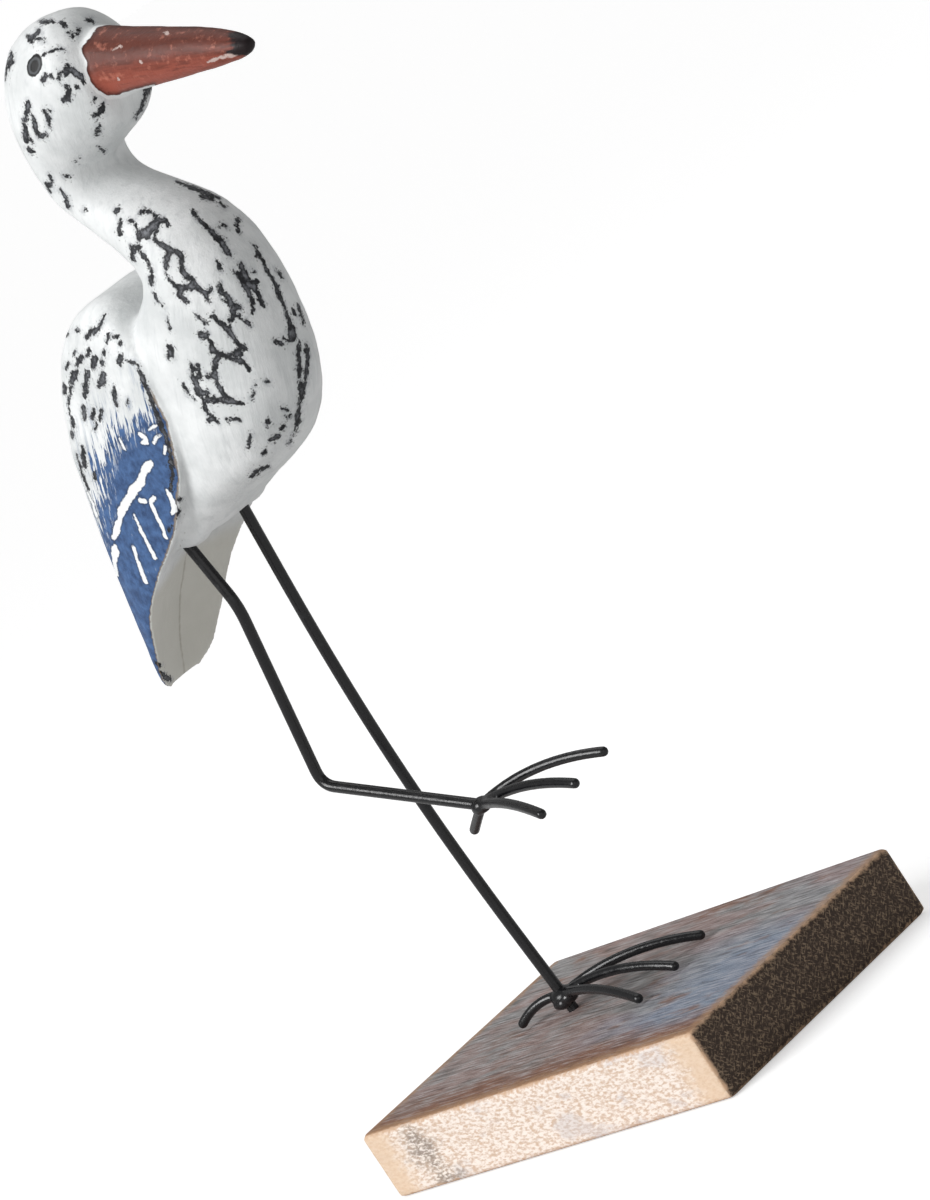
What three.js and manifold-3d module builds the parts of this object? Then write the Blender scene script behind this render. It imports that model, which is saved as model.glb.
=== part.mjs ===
// Carved gull on bent wire legs, standing on one foot on a painted wooden block.
// Millimetres. The origin is the middle of the block's underside, +X is the way the bird faces,
// +Y is its left and +Z is up.
import * as THREE from "three";
import Module from "manifold-3d";
import { mergeVertices } from "three/addons/utils/BufferGeometryUtils.js";

const wasm = await Module();
wasm.setup();

// Block
const BLOCK = { length: 140, width: 87, height: 20, corner: 2.2, arris: 1.1 };

// Wire legs and feet
const LEG_WIRE = 3.1;
const TOE_WIRE = 2.7;
const CLEARANCE = 0.3;
const SOCKET_DEPTH = 8;
const HUB = { x: -19.4, y: 0, z: BLOCK.height + 4.7 };
const HIP = { x: -18.8, z: 177 };
const STANDING_BOW = 5.4;
const RAISED_KNEE = { x: -15.5, z: 158.5 };
const RAISED_HOCK = { x: -27.7, z: 106.7 };
const RAISED_HUB = { x: 23, z: 86.4 };
const RAISED_FOOT_TURN = { pitch: -1, yaw: -8 };
const STANDING_WELD = { length: 5.4, width: 3.9, height: 2.7 };
const RAISED_WELD = { length: 3.4, width: 2.9, height: 2.3 };

// The bird's middle plane, halfway between its two legs
const BIRD_Y = -10.7;
const RAISED_Y = 2 * BIRD_Y - HUB.y;

// Toes of the standing foot: heading in degrees, reach, rise of the arch and drop of the tip
const TOES = [
  { heading: 25, reach: 43.9, arch: 2.6, drop: 3.25 },
  { heading: 1.9, reach: 44.5, arch: 2.4, drop: 3.25 },
  { heading: -17.5, reach: 45.4, arch: 1.6, drop: 3.25 },
  { heading: -163.2, reach: 17, arch: 1.2, drop: 3.25 },
];
// The raised foot is a little shorter, and its hind toe hangs
const RAISED_TOES = [
  { heading: 22.6, reach: 41.7, arch: 2.5, drop: 2.5 },
  { heading: 0.4, reach: 44.1, arch: 1.7, drop: 3 },
  { heading: -16.2, reach: 45.9, arch: 0.9, drop: 3.6 },
  { heading: 169, reach: 16.4, arch: -1.7, drop: 7.1 },
];

// Head, neck and body, from the face down to the rump. Each station gives the point on the front
// profile, the point on the back profile and the half width, in the bird's middle plane.
const FIGURE = [
  { front: [50.0, 284.0], back: [49.5, 299.5], half: 5.8, square: 2.0 }, // face, behind the beak
  { front: [48.3, 280.0], back: [46.5, 305.0], half: 10.6, square: 2.2 }, // face
  { front: [44.5, 276.8], back: [39.5, 309.6], half: 13.8, square: 2.2 }, // forehead and chin
  { front: [37.0, 275.0], back: [25.0, 309.0], half: 15.6, square: 2.1 }, // crown
  { front: [30.0, 273.0], back: [15.0, 299.0], half: 15.4, square: 2.0 }, // cheek
  { front: [26.5, 271.5], back: [9.0, 284.0], half: 13.4, square: 2.0 }, // back of the head
  { front: [29.0, 266.5], back: [8.0, 268.5], half: 11.8, square: 2.0 }, // nape
  { front: [38.5, 259.0], back: [15.5, 254.5], half: 12.3, square: 2.0 }, // neck
  { front: [48.0, 249.5], back: [21.0, 240.5], half: 15.0, square: 2.0 }, // root of the neck
  { front: [52.2, 235.0], back: [6.0, 232.0], half: 17.8, square: 2.1 }, // upper breast
  { front: [50.6, 220.0], back: [-5.0, 221.0], half: 19.3, square: 2.2 }, // breast
  { front: [44.2, 202.0], back: [-11.0, 210.0], half: 19.3, square: 2.2 }, // lower breast
  { front: [30.2, 188.4], back: [-16.0, 203.0], half: 18.0, square: 2.2 }, // belly
  { front: [9.0, 182.3], back: [-21.0, 196.0], half: 16.6, square: 2.2 }, // belly, over the legs
  { front: [-9.0, 178.2], back: [-27.0, 190.0], half: 16.0, square: 2.4 }, // hips
  { front: [-22.5, 177.6], back: [-32.0, 185.0], half: 14.5, square: 2.6 }, // rump
];

// Thighs, low swellings of the belly round the tops of the legs
const THIGH = { x: -15.5, z: 188.5, apart: 10.6, length: 14.5, width: 6, height: 11.5 };

// Folded wings and tail, one mantle from the shoulders to the tail's end. Each station gives the
// ridge of the back, the wings' lower edge, how far apart each pair runs, and how far along the
// way from ridge to edge the middle of the underside lies.
const MANTLE = [
  { ridge: [15.0, 236.0], edge: [16.0, 230.0], ridgeHalf: 8, edgeHalf: 17.0, keel: 1 },
  { ridge: [7.0, 243.5], edge: [16.5, 223.0], ridgeHalf: 9, edgeHalf: 19.8, keel: 1 },
  { ridge: [-8.0, 243.0], edge: [14.0, 210.0], ridgeHalf: 9, edgeHalf: 20.5, keel: 1 },
  { ridge: [-25.0, 232.5], edge: [6.0, 196.5], ridgeHalf: 8.5, edgeHalf: 20.5, keel: 0.95 },
  { ridge: [-38.5, 214.5], edge: [-9.0, 184.0], ridgeHalf: 8, edgeHalf: 20.2, keel: 0.9 },
  { ridge: [-47.0, 194.5], edge: [-25.0, 176.0], ridgeHalf: 7, edgeHalf: 19.3, keel: 0.86 },
  { ridge: [-53.0, 176.5], edge: [-41.0, 167.0], ridgeHalf: 6, edgeHalf: 17.0, keel: 0.88 },
  { ridge: [-58.7, 162.0], edge: [-53.0, 156.0], ridgeHalf: 4.5, edgeHalf: 13.6, keel: 0.75 },
  { ridge: [-63.0, 152.5], edge: [-60.3, 148.9], ridgeHalf: 3, edgeHalf: 10.9, keel: 0.7 },
  { ridge: [-66.7, 147.0], edge: [-65.6, 145.4], ridgeHalf: 1.5, edgeHalf: 6.6, keel: 0.9 },
];
const WING_EDGE = 1.3;

// Beak, from its root inside the face to its blunt tip
const BEAK = [
  { at: [42.0, 294.0], high: 9.9, wide: 8.2 },
  { at: [56.7, 289.8], high: 7.9, wide: 7.3 },
  { at: [70.5, 286.0], high: 6.5, wide: 6.1 },
  { at: [82.8, 282.3], high: 5.0, wide: 4.9 },
  { at: [91.7, 279.3], high: 3.2, wide: 3.4 },
  { at: [96.0, 278.0], high: 1.5, wide: 1.7 },
];

// How finely each piece is faceted
const FACETS = { figure: [46, 32], mantle: [34, 9], beak: [16, 20], wire: 5, legStep: 4, toe: 9 };

const degrees = (angle) => (angle * Math.PI) / 180;
const signedPower = (value, power) => Math.sign(value) * Math.abs(value) ** power;

// A smooth row of stations: every number of the stations is carried along one Catmull-Rom curve
function along(stations, count) {
  const rows = stations.map((station) => Object.values(station).flat());
  const curves = rows[0].map(
    (_, column) =>
      new THREE.SplineCurve(rows.map((row, i) => new THREE.Vector2(i, row[column]))),
  );
  return Array.from({ length: count }, (_, i) =>
    curves.map((curve) => curve.getPoint(i / (count - 1)).y),
  );
}

// A closed skin over rings of points, each end closed by a fan, facing outwards
function skin(rings) {
  const size = rings[0].length;
  const middle = (ring) =>
    ring.reduce((sum, p) => sum.add(p), new THREE.Vector3()).divideScalar(size);
  const points = [...rings.flat(), middle(rings[0]), middle(rings.at(-1))];
  const [head, tail] = [points.length - 2, points.length - 1];
  const last = (rings.length - 1) * size;
  const faces = [];
  for (let k = 0; k < size; k++) {
    const next = (k + 1) % size;
    faces.push(head, next, k, tail, last + k, last + next);
    for (let row = 0; row < last; row += size) {
      faces.push(row + k, row + next, row + size + k);
      faces.push(row + next, row + size + next, row + size + k);
    }
  }
  const geometry = new THREE.BufferGeometry().setFromPoints(points);
  geometry.setIndex(faces);
  return geometry;
}

// Geometry to solid, turned the right way out, and back
function solid(geometry) {
  const bare = geometry.clone();
  bare.deleteAttribute("normal");
  bare.deleteAttribute("uv");
  const merged = mergeVertices(bare, 1e-4);
  const faces = new Uint32Array(merged.index.array);
  const mesh = () =>
    new wasm.Mesh({
      numProp: 3,
      vertProperties: merged.attributes.position.array,
      triVerts: faces,
    });
  const made = new wasm.Manifold(mesh());
  if (made.volume() > 0) return made;
  for (let i = 0; i < faces.length; i += 3) {
    [faces[i + 1], faces[i + 2]] = [faces[i + 2], faces[i + 1]];
  }
  return new wasm.Manifold(mesh());
}

function geometryOf(made) {
  const { vertProperties, triVerts } = made.getMesh();
  const geometry = new THREE.BufferGeometry();
  geometry.setAttribute("position", new THREE.BufferAttribute(vertProperties, 3));
  geometry.setIndex(new THREE.BufferAttribute(triVerts, 1));
  geometry.computeVertexNormals();
  return geometry;
}

// Round wire of one thickness along a curve
function wire(curve, thickness, step) {
  const section = new THREE.Shape().absarc(0, 0, thickness / 2, 0, 2 * Math.PI);
  return new THREE.ExtrudeGeometry(section, {
    extrudePath: curve,
    steps: Math.ceil(curve.getLength() / step),
    curveSegments: FACETS.wire,
  });
}

// Straight runs through the given points with a rounded bend at each inner one
function bent(points, radius) {
  const path = new THREE.CurvePath();
  let from = points[0];
  for (let i = 1; i < points.length - 1; i++) {
    const corner = points[i];
    const before = corner.clone().lerp(from, radius / corner.distanceTo(from));
    const after = corner.clone().lerp(points[i + 1], radius / corner.distanceTo(points[i + 1]));
    path.add(new THREE.LineCurve3(from, before));
    path.add(new THREE.QuadraticBezierCurve3(before, corner, after));
    from = after;
  }
  path.add(new THREE.LineCurve3(from, points.at(-1)));
  return path;
}

function figureSkin() {
  const [count, sides] = FACETS.figure;
  return skin(
    along(FIGURE, count).map(([fx, fz, bx, bz, half, square]) =>
      Array.from({ length: sides }, (_, k) => {
        const turn = (k / sides) * 2 * Math.PI;
        const depth = signedPower(Math.sin(turn), 2 / square) / 2 + 0.5;
        const side = signedPower(Math.cos(turn), 2 / square) * half;
        return new THREE.Vector3(fx + (bx - fx) * depth, BIRD_Y + side, fz + (bz - fz) * depth);
      }),
    ),
  );
}

function thighSkin(side) {
  const ball = new THREE.SphereGeometry(1, 24, 18);
  ball.scale(THIGH.length, THIGH.width, THIGH.height);
  return ball.translate(THIGH.x, BIRD_Y + side * THIGH.apart, THIGH.z);
}

// One side of the mantle's section: over the ridge, round the wing to its edge, back underneath
function mantleHalf(ridgeHalf, edgeHalf, keel, lip) {
  const half = [[0, 0]];
  const steps = FACETS.mantle[1];
  for (let k = 0; k <= steps; k++) {
    const turn = ((k / steps) * Math.PI) / 2;
    half.push([1 - Math.cos(turn), ridgeHalf + (edgeHalf - ridgeHalf) * Math.sin(turn)]);
  }
  half.push([1 + lip * 0.4, edgeHalf - lip * 0.35 * edgeHalf]);
  half.push([keel + (1 - keel) * 0.5, edgeHalf * 0.5]);
  half.push([keel, 0]);
  return half;
}

function mantleSkin() {
  return skin(
    along(MANTLE, FACETS.mantle[0]).map(([rx, rz, ex, ez, ridgeHalf, edgeHalf, keel]) => {
      const lip = WING_EDGE / Math.hypot(ex - rx, ez - rz);
      const half = mantleHalf(ridgeHalf, edgeHalf, keel, Math.min(lip, 0.3));
      const other = half.slice(1, -1).reverse();
      return [...half, ...other.map(([down, side]) => [down, -side])].map(
        ([down, side]) =>
          new THREE.Vector3(rx + (ex - rx) * down, BIRD_Y + side, rz + (ez - rz) * down),
      );
    }),
  );
}

function beakSkin() {
  const [count, sides] = FACETS.beak;
  const stations = along(BEAK, count);
  return skin(
    stations.map(([x, z, high, wide], i) => {
      const [ax, az] = stations[Math.max(i - 1, 0)];
      const [bx, bz] = stations[Math.min(i + 1, count - 1)];
      const slope = Math.atan2(bz - az, bx - ax);
      return Array.from({ length: sides }, (_, k) => {
        const turn = (k / sides) * 2 * Math.PI;
        const up = high * Math.sin(turn);
        return new THREE.Vector3(
          x - Math.sin(slope) * up,
          BIRD_Y + wide * Math.cos(turn),
          z + Math.cos(slope) * up,
        );
      });
    }),
  );
}

// The standing leg bows back between the hip and the foot, and its lower end enters the block
function standingPath() {
  const points = [];
  const top = HIP.z + SOCKET_DEPTH;
  const bottom = BLOCK.height - SOCKET_DEPTH;
  const steps = 12;
  for (let i = 0; i <= steps; i++) {
    const z = top + ((bottom - top) * i) / steps;
    const share = (HIP.z - z) / (HIP.z - HUB.z);
    const x = HIP.x + (HUB.x - HIP.x) * share - STANDING_BOW * Math.sin(Math.PI * share);
    points.push(new THREE.Vector3(x, HUB.y, z));
  }
  return new THREE.CatmullRomCurve3(points);
}

// The raised leg leaves the belly, bends at the knee and again, sharply, at the hock
function raisedPath() {
  const point = ({ x, z }) => new THREE.Vector3(x, RAISED_Y, z);
  const [hip, knee] = [point(HIP), point(RAISED_KNEE)];
  const inside = hip.clone().lerp(knee, -SOCKET_DEPTH / hip.distanceTo(knee));
  const end = point(RAISED_HUB).lerp(point(RAISED_HOCK), 0.02);
  return bent([inside, knee, point(RAISED_HOCK), end], 4.5);
}

// A foot at the origin: toes arching out from a weld, heading along +X
function foot(toes, { length, width, height }) {
  const weld = new THREE.SphereGeometry(1, 14, 10);
  weld.scale(length, width, height);
  let made = solid(weld);
  for (const { heading, reach, arch, drop } of toes) {
    const turn = degrees(heading);
    const at = (share) =>
      new THREE.Vector3(
        Math.cos(turn) * reach * share,
        Math.sin(turn) * reach * share,
        4 * arch * share * (1 - share) - drop * share * share,
      );
    const points = [0, 0.25, 0.5, 0.75, 1].map(at);
    made = made.add(
      solid(wire(new THREE.CatmullRomCurve3(points), TOE_WIRE, reach / FACETS.toe)),
    );
  }
  return made;
}

// The hole that a leg goes into: the leg itself, fatter by the clearance
const legHole = (path, step) => solid(wire(path, LEG_WIRE + 2 * CLEARANCE, step));

function blockGeometry() {
  const { length, width, height, corner, arris } = BLOCK;
  const [x, y, r] = [length / 2 - arris, width / 2 - arris, corner - arris];
  const outline = new THREE.Shape();
  outline.absarc(x - r, y - r, r, 0, Math.PI / 2);
  outline.absarc(r - x, y - r, r, Math.PI / 2, Math.PI);
  outline.absarc(r - x, r - y, r, Math.PI, 1.5 * Math.PI);
  outline.absarc(x - r, r - y, r, 1.5 * Math.PI, 2 * Math.PI);
  const block = new THREE.ExtrudeGeometry(outline, {
    depth: height - 2 * arris,
    bevelThickness: arris,
    bevelSize: arris,
    bevelSegments: 2,
    curveSegments: 3,
  });
  return block.translate(0, 0, arris);
}

const paintedWood = new THREE.MeshStandardMaterial({
  color: "#e4e5e3",
  roughness: 0.6,
  metalness: 0,
});
const blockWood = new THREE.MeshStandardMaterial({
  color: "#a08f82",
  roughness: 0.75,
  metalness: 0,
});
const blackWire = new THREE.MeshStandardMaterial({
  color: "#16171a",
  roughness: 0.32,
  metalness: 0.2,
});

const standingCurve = standingPath();
const raisedCurve = raisedPath();
const holes = {
  standing: legHole(standingCurve, FACETS.legStep * 2),
  raised: legHole(raisedCurve, FACETS.legStep),
};

const bird = solid(figureSkin())
  .add(solid(mantleSkin()))
  .add(solid(thighSkin(-1)))
  .add(solid(thighSkin(1)))
  .add(solid(beakSkin()))
  .subtract(holes.standing)
  .subtract(holes.raised);

const standingFoot = foot(TOES, STANDING_WELD)
  .translate([HUB.x, HUB.y, HUB.z])
  .subtract(holes.standing);

const turn = new THREE.Matrix4().makeRotationFromEuler(
  new THREE.Euler(0, degrees(RAISED_FOOT_TURN.pitch), degrees(RAISED_FOOT_TURN.yaw), "ZYX"),
);
turn.setPosition(RAISED_HUB.x, RAISED_Y, RAISED_HUB.z);
const raisedFoot = foot(RAISED_TOES, RAISED_WELD)
  .transform(turn.elements)
  .subtract(holes.raised);

const block = solid(blockGeometry()).subtract(holes.standing);

const gull = new THREE.Group();
function place(name, geometry, material) {
  const mesh = new THREE.Mesh(geometry, material);
  mesh.name = name;
  gull.add(mesh);
}
place("carved_bird", geometryOf(bird), paintedWood);
place("standing_leg", wire(standingCurve, LEG_WIRE, FACETS.legStep * 2), blackWire);
place("standing_foot", geometryOf(standingFoot), blackWire);
place("raised_leg", wire(raisedCurve, LEG_WIRE, FACETS.legStep), blackWire);
place("raised_foot", geometryOf(raisedFoot), blackWire);
place("base_block", geometryOf(block), blockWood);

export default gull;
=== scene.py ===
"""Carved gull on bent wire legs, standing on one foot on a painted wooden block."""
import math

import bpy
import numpy as np
from bpy.props import FloatProperty, FloatVectorProperty, IntProperty, PointerProperty
from mathutils import Matrix, Vector


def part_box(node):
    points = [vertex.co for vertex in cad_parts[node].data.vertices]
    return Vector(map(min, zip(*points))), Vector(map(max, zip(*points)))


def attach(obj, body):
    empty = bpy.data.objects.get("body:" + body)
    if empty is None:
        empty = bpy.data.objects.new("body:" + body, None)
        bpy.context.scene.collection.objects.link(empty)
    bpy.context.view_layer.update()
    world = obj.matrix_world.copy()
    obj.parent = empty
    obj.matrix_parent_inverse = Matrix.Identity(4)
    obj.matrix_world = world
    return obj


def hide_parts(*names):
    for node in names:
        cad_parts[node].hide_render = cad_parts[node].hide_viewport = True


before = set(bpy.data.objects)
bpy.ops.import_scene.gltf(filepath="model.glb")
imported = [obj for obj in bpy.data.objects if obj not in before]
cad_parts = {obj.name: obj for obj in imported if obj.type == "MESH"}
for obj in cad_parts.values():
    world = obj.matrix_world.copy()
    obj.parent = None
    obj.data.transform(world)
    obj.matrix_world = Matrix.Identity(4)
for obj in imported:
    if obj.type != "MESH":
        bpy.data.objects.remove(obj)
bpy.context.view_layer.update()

bl_info = {
    "name": "Carved Gull",
    "version": (1, 0, 0),
    "blender": (4, 5, 0),
    "location": "3D View > Sidebar > Carved Gull",
    "description": "Builds a distressed wooden gull, its wire legs and feet, and its painted block",
    "category": "Add Mesh",
}

# Sizes shared by several pieces, in millimetres
BIRD_Y = -10.7
LEG_WIRE = 3.1
TOE_WIRE = 2.7
BLOCK_LOW, BLOCK_HIGH = (np.array(corner) * 1000 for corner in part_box("base_block"))
BLOCK_TOP = BLOCK_HIGH[2]

# Standing leg and foot
HUB = (-19.4, 0.0, BLOCK_TOP + 4.7)
HIP = (-18.8, 177.0)
STANDING_BOW = 5.4
TOES = [(25, 43.9, 2.6, 3.25), (1.9, 44.5, 2.4, 3.25), (-17.5, 45.4, 1.6, 3.25), (-163.2, 17, 1.2, 3.25)]

# Raised leg and foot
RAISED_Y = 2 * BIRD_Y
RAISED_KNEE = (-15.5, 158.5)
RAISED_HOCK = (-27.7, 106.7)
RAISED_HUB = (23.0, RAISED_Y, 86.4)
RAISED_TURN = (-1.0, -8.0)
RAISED_TOES = [(22.6, 41.7, 2.5, 2.5), (0.4, 44.1, 1.7, 3.0), (-16.2, 45.9, 0.9, 3.6), (169, 16.4, -1.7, 7.1)]

# Lower edge of a wing from the shoulder to the tail's end, in the plane of the bird's length and height
WING_EDGE = [
    (10.0, 240.0), (14.0, 234.5), (16.3, 229.0), (16.5, 223.0), (14.0, 210.0), (6.0, 196.5), (-9.0, 184.0),
    (-25.0, 176.0), (-41.0, 167.0), (-53.0, 156.0), (-60.3, 148.9), (-66.5, 144.0),
]
TAIL_UNDERSIDE = (0.66, 0.0, -0.75)

# Middle of an eye: along the bird, out from its middle, and up
EYE = (38.4, 12.6, 301.3)
EYE_TILT = math.radians(14)

# Marks are laid out on a flat drawing of the flank. A point of the bird falls on it along one
# slanting direction: it slides by this much along the drawing, and up, for each millimetre sideways.
FLANK_SLIDE = (1.222, 0.166)

# Chipped places where the dark undercoat shows, and a few dark strokes of painted shade drawn the same way:
# strokes of points, each with the stroke's width there
HEAD_CHIPS_AND_SHADE = [
    [(10.2, 302.1, 0.4), (13, 304.2, 0.8), (16.1, 305.4, 1.6), (18, 306.7, 1.3)],
    [(27.2, 307.3, 2.6), (28.4, 307.2, 1.2), (32.1, 307.8, 0.8)],
    [(28.6, 306.6, 0.9), (31.4, 305.3, 0.6)],
    [(33.6, 309.2, 0.6), (35.5, 308.8, 0.9), (38, 307.8, 1.0)],
    [(40.3, 306.6, 1.0), (41.2, 305.7, 1.6)], [(40.6, 303.5, 0.8), (42.4, 303.4, 0.5)],
    [(41.1, 302, 0.7), (43, 302.2, 0.9), (44.6, 302.6, 1.3)], [(49.3, 303.6, 0.9), (50.8, 302.7, 1.3)],
    [(26.1, 302.6, 0.35), (29.3, 302.2, 0.45), (33, 301.8, 0.5), (36.4, 300.6, 0.35)],
    [(22.1, 297.1, 0.8), (24.9, 297.9, 1.1)], [(25.8, 297, 1.2), (26.4, 296.8, 1.2)],
    [(27.6, 295.7, 0.9), (29.3, 296.3, 1.6), (31.8, 295.8, 1.6), (33.6, 296.7, 1.6), (34.4, 294.8, 2.6),
     (35.6, 293.4, 1.8), (35.4, 291.6, 1.4)],
    [(28.3, 292.9, 1.0), (29.6, 292.6, 1.0)], [(31.8, 291.6, 1.0), (32.6, 291.3, 1.0)],
    [(24.6, 290.4, 1.0), (26.8, 290.6, 1.8), (28.8, 291.2, 1.3)],
    [(34.6, 286.4, 0.9), (36.4, 287.2, 0.8)],
    [(31, 283.5, 0.9), (33, 283.1, 1.3), (35.5, 283.6, 1.8), (37.2, 284.6, 1.1)],
    [(28, 279.2, 0.8), (29.9, 279.8, 1.5), (31.6, 280.8, 0.8)],
    # Painted shadow: this stroke is the thin dark line on the chin just below the beak
    [(44, 277.3, 0.3), (48, 278.2, 0.7), (50.5, 279.6, 0.9), (53, 281, 1.4), (56.1, 281.4, 1.0)],
    [(12.9, 294.4, 1.7), (9.6, 292.3, 1.6), (7.4, 290.8, 1.3), (5.5, 288.6, 1.6), (4.3, 287.2, 2.0)],
    [(5, 287, 1.0), (5.9, 286, 0.8)], [(3, 284.6, 1.9), (3.8, 284, 1.4)],
    [(11.4, 291.6, 1.2), (11, 290, 1.2), (9.9, 288.3, 1.8), (9.3, 286.4, 1.2), (11.8, 285.7, 1.3)],
    [(16.6, 290.3, 1.6), (16.4, 288.6, 1.1), (14.8, 287.2, 1.2)], [(17.6, 290.4, 0.7), (19, 290.4, 0.6)],
    [(1.1, 274.5, 1.6), (3.3, 274.5, 1.1), (4, 276.3, 1.3)], [(0.9, 273.8, 0.9), (0.8, 272.7, 0.9)],
    [(4.6, 271.9, 0.8), (4.7, 269.4, 1.6), (3.4, 267.4, 1.6)], [(8.9, 274.3, 0.8), (10.4, 273.4, 1.1)],
    [(7.8, 264.1, 0.9), (8.8, 264, 0.9)], [(17.8, 259.6, 1.0), (19.9, 260.1, 0.9)],
    [(26.4, 275.8, 0.6), (27, 274.3, 0.9)], [(15.6, 276.1, 0.4), (18, 276.2, 0.4)],
]
NECK_CHIPS = [
    [(14.6, 254.2, 1.8), (16.1, 256, 0.9), (18, 257, 0.8)],
    [(19.9, 256.4, 0.9), (22.1, 255.4, 1.2), (21.6, 253.8, 0.9), (21.8, 252.6, 1.2)],
    [(25.5, 256.2, 0.8), (28, 256.5, 1.2), (29.6, 255.2, 1.1), (30.3, 253.6, 1.6)],
    [(19.4, 250.6, 1.6), (21.2, 251.7, 2.4), (23, 251, 3.2), (25.5, 251.7, 2.2), (28, 251.9, 2.6),
     (30.5, 252.4, 2.2), (32.4, 251.6, 1.9), (32.3, 250.4, 1.2)],
    [(25.8, 249.6, 1.0), (28.4, 250.9, 1.0)], [(15.6, 250, 1.5), (14.8, 248.2, 1.6), (13.5, 246.9, 1.2)],
    [(15.8, 248.8, 1.8), (18.8, 248.9, 1.2)],
    [(17.2, 248.6, 1.2), (17.5, 246.6, 1.5), (18, 244.8, 1.3), (17.3, 242, 1.6), (16.6, 240.7, 1.2),
     (14.9, 239.8, 1.9), (14, 238.8, 0.9)],
    [(13.2, 236, 1.3), (12.7, 234.6, 1.2), (13.1, 232.6, 1.4)], [(12.4, 229.4, 0.6), (10.9, 226.8, 0.9)],
    [(24.9, 248.8, 1.4), (25.8, 246.7, 2.0), (27.4, 245, 2.2), (28.7, 243.6, 1.5), (30.3, 242, 2.3),
     (28.7, 240.3, 1.3), (27.4, 238.3, 1.9), (27.5, 236.3, 2.2), (28.6, 234.2, 1.9), (28.6, 232.4, 1.6),
     (29.7, 230.8, 1.9), (29.5, 228.9, 1.4)],
    [(26.6, 244, 1.4), (24.9, 242.9, 1.9), (23.3, 241.6, 2.0), (21.9, 240.2, 1.1), (21.1, 238.2, 0.9),
     (21.8, 235.8, 1.5), (22.9, 234.5, 2.3), (21.1, 232.9, 1.9), (22.2, 230.9, 1.6)],
    [(22.9, 234.4, 2.0), (25.5, 233.9, 1.6), (28, 233.7, 2.0)], [(31, 230.4, 0.9), (33.1, 230.9, 1.1)],
    [(43.3, 249.9, 2.2), (43.2, 248, 1.2), (44.6, 245.1, 1.7), (45.2, 242.6, 2.2), (45.8, 240.1, 2.4),
     (45.6, 237.2, 2.1)],
    [(46, 240.6, 1.0), (47.6, 240.9, 0.8)], [(40.5, 235.8, 1.8), (40, 234.7, 1.9)],
    [(44.3, 258.8, 0.8), (48, 255.6, 1.2), (51.1, 253, 1.7), (54.2, 250.6, 1.0)],
    [(49.2, 252.6, 1.5), (52.4, 251, 1.7)], [(53.6, 249.4, 1.0), (54.4, 248.3, 1.3)],
    [(49.3, 244, 1.0), (50.4, 243.6, 1.0)], [(56.2, 243.8, 1.0), (54.2, 242.4, 0.8), (53.4, 240.9, 1.2)],
]
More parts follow.
